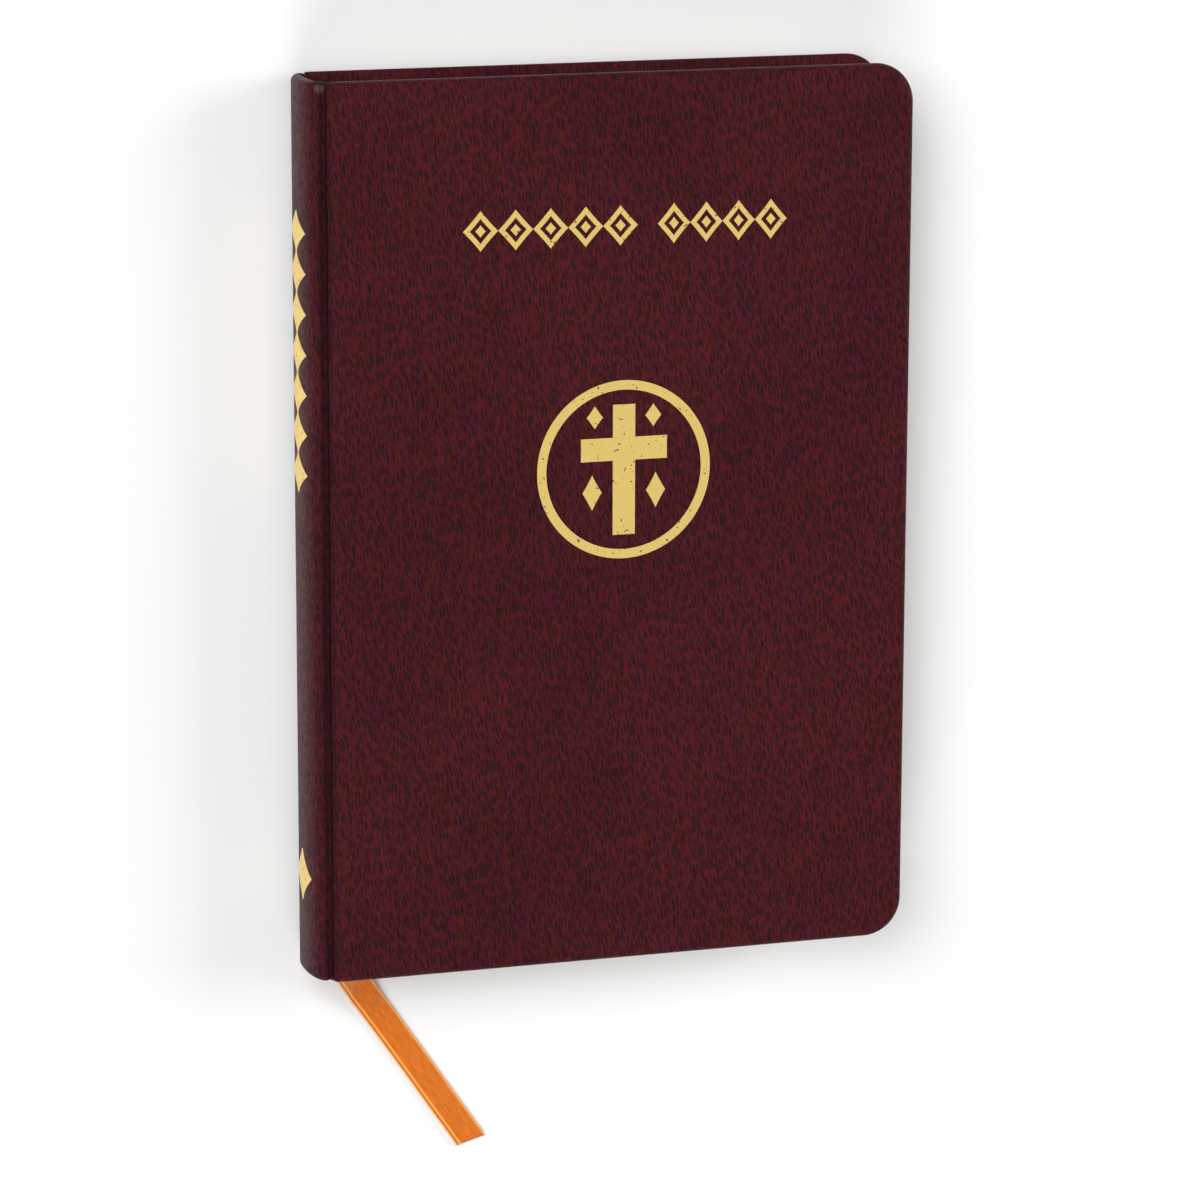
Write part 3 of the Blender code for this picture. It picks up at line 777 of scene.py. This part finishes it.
class BOOK_OT_covers(bpy.types.Operator):
    """Models the leather of the front and back covers with their turn-ins"""

    bl_idname = "prayer_book.covers"
    bl_label = "Cover Leather"

    def model(self, name, settings):
        """A block with round corners, open underneath inside its turn-ins."""
        low, high = COVER_LOW.copy(), COVER_HIGH.copy()
        skin = add_block(name, low, high)

        def standing(edge):
            return abs(edge.verts[0].co.z - edge.verts[1].co.z) > COVER_THICKNESS / 2

        with editing(skin):
            pick(skin, "EDGE", lambda edge: standing(edge) and edge.verts[0].co.x > 0)
            bpy.ops.mesh.bevel(offset=settings.corner, segments=18, affect="EDGES")
            pick(skin, "EDGE", lambda edge: standing(edge) and edge.verts[0].co.x < low.x + TINY)
            bpy.ops.mesh.bevel(offset=0.9 * MM, segments=4, affect="EDGES")
            pick(skin, "EDGE", lambda edge: all(corner.co.z > high.z - TINY for corner in edge.verts))
            bpy.ops.mesh.bevel(offset=settings.edge_round, segments=6, affect="EDGES")
            pick(skin, "EDGE", lambda edge: all(corner.co.z < low.z + TINY for corner in edge.verts))
            bpy.ops.mesh.bevel(offset=0.45 * MM, segments=3, affect="EDGES")
            pick(skin, "FACE", lambda face: face.normal.z < -0.99 and face.calc_area() > 0.005)
            bpy.ops.mesh.inset(thickness=0.01 * MM)
            pick(skin, "FACE", lambda face: face.normal.z < -0.99 and face.calc_area() > 0.005)
            for point in bmesh.from_edit_mesh(skin.data).verts:
                if point.select:
                    point.co.x = min(max(point.co.x, low.x + 0.8 * MM), high.x - settings.turn_in)
                    point.co.y = math.copysign(min(abs(point.co.y), high.y - settings.turn_in), point.co.y)
            bpy.ops.mesh.delete(type="FACE")
            bpy.ops.mesh.select_all(action="SELECT")
            bpy.ops.mesh.remove_doubles(threshold=TINY)
            self.slice(low, high)
        self.soften(skin, low, high)
        thicken(skin, settings.thickness)
        return skin

    def slice(self, low, high):
        """Cuts the faces into a net fine enough to bend."""
        cuts = [(0, low.x + (1.3 + 0.4 * step) * MM) for step in range(6)]
        cuts += [(0, low.x + (high.x - low.x) * step / 16) for step in range(1, 16)]
        cuts += [(1, low.y + (high.y - low.y) * step / 22) for step in range(1, 22)]
        for axis, place in cuts:
            across = Vector((0, 0, 0))
            across[axis] = 1
            bpy.ops.mesh.select_all(action="SELECT")
            bpy.ops.mesh.bisect(plane_co=across * place, plane_no=across)

    def soften(self, skin, low, high):
        """Rounds the side beside the joint further and lets the flat of the cover wave a little."""
        shoulder = 3.0 * MM
        for point in skin.data.vertices:
            if point.co.z < (low.z + high.z) / 2:
                continue
            from_joint = (point.co.x - low.x) / shoulder
            if from_joint < 1:
                point.co.z -= 0.55 * MM * (1 - from_joint) ** 2
            from_edge = min(point.co.x - low.x, high.x - point.co.x, high.y - abs(point.co.y))
            share = min(1.0, max(0.0, from_edge - 2 * MM) / (8 * MM))
            point.co.z -= 0.08 * MM * share * (1 + noise.noise(point.co * 28))

    def execute(self, context):
        settings = context.scene.prayer_book_leather
        for side, word in SIDES:
            skin = self.model(f"{word}_cover_skin", settings)
            if side == DOWN:
                turn_over(skin)
            smooth(skin, 35)
            dress(skin, leather_material(), "dark_red_leather")
            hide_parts(f"{word}_cover_leather")
            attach(skin, f"{word}_cover")
        return {"FINISHED"}


class BOOK_OT_spine(bpy.types.Operator):
    """Models the leather of the spine, its headcaps and the strips down in the joints"""

    bl_idname = "prayer_book.spine"
    bl_label = "Spine Leather"

    def spine(self, settings):
        """The round leather of the spine, rolled over at its head and tail."""
        section = [(SPINE_X + depth, 0, MIDDLE + z) for depth, z in spine_section()]
        rows = both_ends(HALF_HEIGHT, 1.1 * MM, ROLL_WIDTH, 60)

        def place(u, v):
            point = along(section, u)
            inwards, y = rows[round(v * (len(rows) - 1))]
            inner = Vector((max(point.x, SPINE_X + 2.35 * MM), 0, MIDDLE + (point.z - MIDDLE) * 0.8))
            point = point.lerp(inner, inwards / ROLL_WIDTH)
            return Vector((point.x, y, point.z))

        skin = add_sheet("spine_skin", 64, len(rows) - 1, place)
        face_towards(skin, Vector((-1, 0, 0)))
        thicken(skin, settings.thickness)
        return skin

    def joint_strip(self, side, word, settings):
        """The leather between the spine's shoulder and the edge of one cover."""
        line = [(SPINE_X + depth * MM, 0, GROOVE_Z + rise * MM) for depth, rise in JOINT_SECTION]
        rows = both_ends(HALF_HEIGHT - 0.1 * MM, 0.9 * MM, ROLL_WIDTH, 60)

        def place(u, v):
            point = along(line, u)
            inwards, y = rows[round(v * (len(rows) - 1))]
            return Vector((point.x, y, point.z - inwards))

        strip = add_sheet(f"{word}_joint_skin", 18, len(rows) - 1, place)
        face_towards(strip, Vector((0, 0, 1)))
        thicken(strip, settings.thickness)
        if side == DOWN:
            turn_over(strip)
        return strip

    def execute(self, context):
        settings = context.scene.prayer_book_leather
        skin = self.spine(settings)
        smooth(skin, 40)
        dress(skin, leather_material(), "dark_red_leather")
        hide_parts("spine_leather_front", "spine_leather_back")
        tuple(SPINE_BEND[0])
        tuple(SPINE_BEND[1])
        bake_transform(skin)
        for side, word in SIDES:
            strip = self.joint_strip(side, word, settings)
            smooth(strip, 40)
            dress(strip, leather_material(), "dark_red_leather")
            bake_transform(strip)
        return {"FINISHED"}


# ---------------- foil


FOIL_LOW = TOP - 0.2 * MM
FOIL_HIGH = TOP + 0.03 * MM


def lozenge_chain(start, end, count, half):
    """Outline of a chain of lozenges with hollowed sides, along the first axis."""
    pitch = (end - start) / count
    neck = 0.3 * MM
    edge = []
    for number in range(count):
        for step in range(12):
            share = step / 12
            rise = 1 - abs(2 * share - 1)
            edge.append((start + (number + share) * pitch, neck + (half - neck) * rise ** 1.35))
    edge.append((end, neck))
    return edge


def add_plate(name, outline):
    """A flat plate of foil from an outline in plan."""
    bpy.ops.object.select_all(action="DESELECT")
    bpy.ops.mesh.primitive_circle_add(vertices=len(outline), radius=1, fill_type="NGON")
    plate = bpy.context.object
    plate.name = name
    for point, (x, y) in zip(plate.data.vertices, outline):
        point.co = (x, y, FOIL_LOW)
    with editing(plate):
        bpy.ops.mesh.select_all(action="SELECT")
        bpy.ops.mesh.extrude_region_move(TRANSFORM_OT_translate={"value": (0, 0, FOIL_HIGH - FOIL_LOW)})
    outward(plate)
    return plate


def lozenge_line(centre, half_width, half_height):
    """Outline of a lozenge with slightly hollowed sides."""
    outline = []
    for step in range(32):
        turn = math.tau * step / 32
        across, up = math.cos(turn), math.sin(turn)
        outline.append((
            centre[0] + half_width * math.copysign(abs(across) ** 2.1, across),
            centre[1] + half_height * math.copysign(abs(up) ** 2.1, up),
        ))
    return outline


def lozenge(name, centre, half_width, half_height):
    return add_plate(name, lozenge_line(centre, half_width, half_height))


def add_frame(name, outer, inner):
    """A flat plate of foil between two outlines with the same number of points."""
    count = len(outer)
    lines = ((outer, FOIL_HIGH), (outer, FOIL_LOW), (inner, FOIL_LOW), (inner, FOIL_HIGH))

    def place(u, v):
        line, z = lines[round(v * 4) % 4]
        x, y = line[round(u * count) % count]
        return Vector((x, y, z))

    plate = add_sheet(name, count, 4, place)
    with editing(plate):
        bpy.ops.mesh.select_all(action="SELECT")
        bpy.ops.mesh.remove_doubles(threshold=1e-7)
    outward(plate)
    return plate


def joined(name, parts):
    """Joins pieces into one."""
    only(parts[0])
    for part in parts:
        part.select_set(True)
    bpy.ops.object.join()
    piece = bpy.context.object
    piece.name = name
    return piece


class BOOK_OT_foil(bpy.types.Operator):
    """Adds the foil ornament on the front cover and on the spine"""

    bl_idname = "prayer_book.foil"
    bl_label = "Gold Foil"

    def title(self, word, count):
        """A chain of hollow lozenges, each with a small lozenge inside."""
        low, high = corners(f"title_foil_{word}")
        middle = (low.y + high.y) / 2
        half = (high.y - low.y) / 2
        pitch = (high.x - low.x) / count
        parts = []
        for number in range(count):
            centre = (low.x + pitch * (number + 0.5), middle)
            line = lozenge_line(centre, pitch / 2, half)
            hole = lozenge_line(centre, pitch / 2 * 0.62, half * 0.62)
            parts.append(add_frame(f"{word}_frame", line, hole))
            parts.append(lozenge(f"{word}_bead", centre, pitch * 0.15, half * 0.30))
        return joined(f"title_ornament_{word}", parts)

    def device(self):
        """A plain ring, and a cross with four small lozenges inside it."""
        low, high = corners("ring_foil")
        centre = (low + high) / 2
        radius = (high.x - low.x) / 2
        turns = [math.tau * step / 128 for step in range(128)]
        ring = add_plate("ring_ornament", [
            (centre.x + radius * math.cos(turn), centre.y + radius * math.sin(turn)) for turn in turns
        ])
        with editing(ring):
            pick(ring, "FACE", lambda face: abs(face.normal.z) > 0.9)
            bpy.ops.mesh.inset(thickness=1.8 * MM)
            bpy.ops.mesh.bridge_edge_loops()
        outward(ring)

        low, high = corners("cross_foil")
        x = (low.x + high.x) / 2
        arm = 2.2 * MM
        bar = (low.y + high.y) / 2 + 4 * MM
        outline = [
            (x - arm, high.y), (x + arm, high.y), (x + arm, bar + arm), (high.x, bar + arm),
            (high.x, bar - arm), (x + arm, bar - arm), (x + arm, low.y), (x - arm, low.y),
            (x - arm, bar - arm), (low.x, bar - arm), (low.x, bar + arm), (x - arm, bar + arm),
        ]
        parts = [add_plate("cross_ornament", outline)]
        reach = (high.x - low.x) / 2
        for across in (-reach, reach):
            upper = (x + across * 0.68, bar + 6.2 * MM)
            lower = (x + across * 0.74, bar - 8.2 * MM)
            parts.append(lozenge("upper_bead", upper, 1.6 * MM, 2.2 * MM))
            parts.append(lozenge("lower_bead", lower, 1.9 * MM, 3.4 * MM))
        return ring, joined("cross_ornament", parts)

    def spine_plate(self, name, node, count):
        """A chain on the round of the spine: each point keeps its height and meets the leather."""
        low, high = corners(f"{node}_back")[0], corners(f"{node}_front")[1]
        edge = lozenge_chain(low.y, high.y, count, high.z - MIDDLE)
        rows = len(edge)
        section = [(SPINE_X + depth, 0, MIDDLE + z) for depth, z in spine_section()]

        def surface(z):
            for first, second in zip(section, section[1:]):
                if first[2] <= z <= second[2]:
                    share = (z - first[2]) / (second[2] - first[2])
                    return first[0] + (second[0] - first[0]) * share
            return SPINE_X

        def place(u, v):
            y, half = edge[min(rows - 1, round(v * (rows - 1)))]
            z = MIDDLE + (2 * u - 1) * half
            return Vector((surface(z) + 0.03 * MM, y, z))

        plate = add_sheet(name, 16, rows - 1, place)
        face_towards(plate, Vector((-1, 0, 0)))
        thicken(plate, 0.06 * MM, 1.0)
        return plate

    def execute(self, context):
        pieces = []
        for word, count in (("left", 5), ("right", 4)):
            pieces.append((self.title(word, count), f"title_foil_{word}"))
        ring, cross = self.device()
        pieces += [(ring, "ring_foil"), (cross, "cross_foil")]
        for piece, node in pieces:
            dress(piece, foil_material(), "gold_foil")
            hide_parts(node)
            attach(piece, "front_cover")
        chains = (("spine_ornament", "spine_chain_foil", 7), ("spine_mark", "spine_mark_foil", 1))
        for name, node, count in chains:
            plate = self.spine_plate(name, node, count)
            smooth(plate, 30)
            dress(plate, foil_material(), "gold_foil")
            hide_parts(f"{node}_front", f"{node}_back")
            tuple(SPINE_BEND[0])
            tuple(SPINE_BEND[1])
            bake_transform(plate)
        return {"FINISHED"}


# ---------------- paper


class BOOK_OT_pages(bpy.types.Operator):
    """Models each gathering as a stack of leaves that stand a little out of line"""

    bl_idname = "prayer_book.pages"
    bl_label = "Gatherings"

    def leaf(self, low, high, radius):
        """One leaf, round at its two outer corners and at its fold."""
        leaf = add_block("leaf", low, high)
        with editing(leaf):
            pick(leaf, "EDGE", lambda edge: all(corner.co.x > 0 for corner in edge.verts)
                 and abs(edge.verts[0].co.z - edge.verts[1].co.z) > TINY)
            bpy.ops.mesh.bevel(offset=radius, segments=14, affect="EDGES")
            pick(leaf, "EDGE", lambda edge: all(corner.co.x < low.x + TINY for corner in edge.verts)
                 and abs(edge.verts[0].co.y - edge.verts[1].co.y) > 1e-3)
            bpy.ops.mesh.bevel(offset=(high.z - low.z) * 0.45, segments=3, affect="EDGES")
        return leaf

    def execute(self, context):
        paper = context.scene.prayer_book_paper
        draw = random.Random(7)
        finish = paper_material("cream_page_paper", tuple(paper.page_colour), edge_lines=True)
        for number in range(1, 13):
            node = f"gathering_{number:02d}"
            low, high = corners(node)
            pitch = (high.z - low.z) / paper.leaves
            first = self.leaf(low, Vector((high.x, high.y, low.z + pitch * 0.93)), paper.corner)
            copies = [first]
            for step in range(1, paper.leaves):
                copy = first.copy()
                copy.data = first.data.copy()
                context.collection.objects.link(copy)
                slip = Vector((-abs(draw.gauss(0, 0.05)), draw.gauss(0, 0.04), 0)) * MM
                copy.data.transform(Matrix.Translation(slip + Vector((0, 0, pitch * step))))
                copies.append(copy)
            stack = joined(f"leaves_{number:02d}", copies)
            smooth(stack, 40)
            dress(stack, finish, "page_paper")
            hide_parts(node)
            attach(stack, "front_half" if number <= 6 else "back_half")
        return {"FINISHED"}


class BOOK_OT_loose_leaves(bpy.types.Operator):
    """Models the flyleaves and the two leaves at the ribbon as flat sheets"""

    bl_idname = "prayer_book.loose_leaves"
    bl_label = "Loose Leaves"

    def sheet(self, name, node, corner):
        """A fine net over one leaf, drawn in at its round corners."""
        low, high = corners(node)
        middle = (low.z + high.z) / 2

        def place(u, v):
            x = low.x + (high.x - low.x) * u
            y = low.y + (high.y - low.y) * v
            return Vector((x, y, middle))

        leaf = add_sheet(name, 48, 36, place)
        for point in leaf.data.vertices:
            over_x = point.co.x - (high.x - corner)
            over_y = abs(point.co.y) - (high.y - corner)
            if over_x > 0 and over_y > 0:
                scale = max(over_x, over_y) / math.hypot(over_x, over_y)
                point.co.x = high.x - corner + over_x * scale
                point.co.y = math.copysign(high.y - corner + over_y * scale, point.co.y)
        thicken(leaf, (high.z - low.z) * 0.8, 0.0)
        return leaf

    def execute(self, context):
        paper = context.scene.prayer_book_paper
        loose = paper_material("cream_loose_paper", tuple(paper.page_colour))
        end = paper_material("cream_endpaper", tuple(paper.endpaper_colour))
        leaves = (
            ("front_flyleaf_sheet", "front_flyleaf", "front_half", "front_flyleaf_turn", end, "endpaper"),
            ("back_flyleaf_sheet", "back_flyleaf", "back_half", "back_flyleaf_turn", end, "endpaper"),
            ("left_marked_sheet", "marked_leaf_left", "back_half", "left_leaf_turn", loose, "page_paper"),
            ("right_marked_sheet", "marked_leaf_right", "back_half", "right_leaf_turn", loose, "page_paper"),
        )
        for name, node, half, joint, finish, slot in leaves:
            leaf = self.sheet(name, node, paper.corner)
            smooth(leaf, 30)
            dress(leaf, finish, slot)
            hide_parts(node)
            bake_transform(leaf)
        self.centre_fold(loose)
        return {"FINISHED"}

    def centre_fold(self, finish):
        """The folded paper at the bottom of the opening, which joins the two halves of the pages."""
        low, high = corners("gathering_07")
        reach = 1.0 * MM

        def place(u, v):
            y = low.y + (high.y - low.y) * v
            return Vector((low.x - 0.06 * MM, y, MIDDLE + (2 * u - 1) * reach))

        fold = add_sheet("centre_fold_paper", 20, 30, place)
        thicken(fold, 0.1 * MM, 0.0)
        smooth(fold, 30)
        dress(fold, finish, "page_paper")
        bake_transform(fold)


class BOOK_OT_bands(bpy.types.Operator):
    """Models the headbands and tailbands as turns of red and cream silk"""

    bl_idname = "prayer_book.bands"
    bl_label = "Head and Tail Bands"

    def execute(self, context):
        red = cloth_material("band_red_silk", (0.30, 0.02, 0.02), 0.3 * MM, 0.55)
        cream = cloth_material("band_cream_silk", (0.72, 0.66, 0.52), 0.3 * MM, 0.55)
        for place in ("headband", "tailband"):
            for side, word in SIDES:
                node = f"{place}_{word}"
                self.band(node, side, (red, cream))
        return {"FINISHED"}

    def band(self, node, side, silks):
        """A row of turns that follows the round of the spine."""
        low, high = corners(node)
        turns = 14
        pitch = (high.z - low.z) / turns
        beads = []
        radius = (high.y - low.y) / 2
        for number in range(turns):
            z = low.z + pitch * (number + 0.5)
            away = abs(z - MIDDLE) / (7 * MM)
            bpy.ops.object.select_all(action="DESELECT")
            centre = (low.x + radius + 0.7 * MM * away ** 2, (low.y + high.y) / 2, z)
            bpy.ops.mesh.primitive_uv_sphere_add(segments=16, ring_count=8, radius=1, location=centre)
            bead = bpy.context.object
            bead.scale = (radius, radius, pitch * 0.62)
            bpy.ops.object.transform_apply(location=True, rotation=True, scale=True)
            bead.data.materials.append(silks[number % 2])
            beads.append(bead)
        band = joined(f"{node}_silk", beads)
        smooth(band, 60)
        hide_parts(node)
        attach(band, "front_half" if side == UP else "back_half")


class BOOK_OT_inside(bpy.types.Operator):
    """Gives the boards, pastedowns, lining, cloth and thread their finishes"""

    bl_idname = "prayer_book.inside"
    bl_label = "Inner Parts"

    def execute(self, context):
        paper = context.scene.prayer_book_paper
        finishes = {
            "board": paper_material("grey_board", (0.30, 0.27, 0.22)),
            "pastedown": paper_material("cream_endpaper", tuple(paper.endpaper_colour)),
            "lining": paper_material("brown_lining_paper", (0.44, 0.34, 0.23)),
            "mull": cloth_material("open_mull", (0.70, 0.66, 0.56), 0.9 * MM),
            "thread": cloth_material("sewing_linen", (0.75, 0.70, 0.58), 0.4 * MM),
        }
        for node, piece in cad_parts.items():
            for word, finish in finishes.items():
                if word in node:
                    piece.data.materials.clear()
                    piece.data.materials.append(finish)
        return {"FINISHED"}


# ---------------- stage


class BOOK_OT_stage(bpy.types.Operator):
    """Adds the pale floor and the soft lights"""

    bl_idname = "prayer_book.stage"
    bl_label = "Stage"

    def light(self, name, place, size, power, aim=(0, 0, 0)):
        bpy.ops.object.light_add(type="AREA", location=place)
        lamp = bpy.context.object
        lamp.name = name
        lamp.data.shape = "RECTANGLE"
        lamp.data.size, lamp.data.size_y = size
        lamp.data.energy = power
        lamp.rotation_mode = "QUATERNION"
        lamp.rotation_quaternion = (Vector(aim) - Vector(place)).to_track_quat("-Z", "Y")

    def execute(self, context):
        stage = context.scene.prayer_book_stage
        bpy.ops.mesh.primitive_plane_add(size=8, location=(0, 0, -0.1 * MM))
        floor = context.object
        floor.name = "floor"
        bpy.ops.object.transform_apply(location=True, rotation=True, scale=True)
        floor.data.materials.append(floor_material())
        self.light("key_light", (-1.0, 0.7, 1.5), (1.3, 1.3), stage.key)
        self.light("fill_light", (-0.4, -1.6, 1.2), (1.6, 1.2), stage.fill)
        self.light("rim_light", (1.8, 0.4, 1.0), (1.2, 1.2), stage.rim)
        world = bpy.data.worlds.new("studio")
        world.use_nodes = True
        background = world.node_tree.nodes["Background"]
        background.inputs["Color"].default_value = (1, 1, 1, 1)
        background.inputs["Strength"].default_value = stage.sky
        context.scene.world = world
        context.scene.view_settings.view_transform = "Standard"
        return {"FINISHED"}


class BOOK_PT_panel(bpy.types.Panel):
    """Lists the steps in the sidebar"""

    bl_idname = "BOOK_PT_panel"
    bl_label = "Prayer Book"
    bl_space_type = "VIEW_3D"
    bl_region_type = "UI"
    bl_category = "Prayer Book"

    def draw(self, context):
        column = self.layout.column(align=True)
        for step in STEPS:
            column.operator(step.bl_idname)


STEPS = (
    BOOK_OT_camera, BOOK_OT_ribbon, BOOK_OT_covers, BOOK_OT_spine, BOOK_OT_foil, BOOK_OT_pages,
    BOOK_OT_loose_leaves, BOOK_OT_bands, BOOK_OT_inside, BOOK_OT_stage,
)
SETTINGS = {
    "prayer_book_leather": LeatherSettings,
    "prayer_book_foil": FoilSettings,
    "prayer_book_ribbon": RibbonSettings,
    "prayer_book_paper": PaperSettings,
    "prayer_book_stage": StageSettings,
}


def register():
    for name, group in SETTINGS.items():
        bpy.utils.register_class(group)
        setattr(bpy.types.Scene, name, bpy.props.PointerProperty(type=group))
    for kind in (*STEPS, BOOK_PT_panel):
        bpy.utils.register_class(kind)


def unregister():
    for kind in (BOOK_PT_panel, *reversed(STEPS)):
        bpy.utils.unregister_class(kind)
    for name, group in SETTINGS.items():
        delattr(bpy.types.Scene, name)
        bpy.utils.unregister_class(group)


def main():
    register()
    for step in STEPS:
        area, name = step.bl_idname.split(".")
        getattr(getattr(bpy.ops, area), name)()


if __name__ == "__main__":
    main()
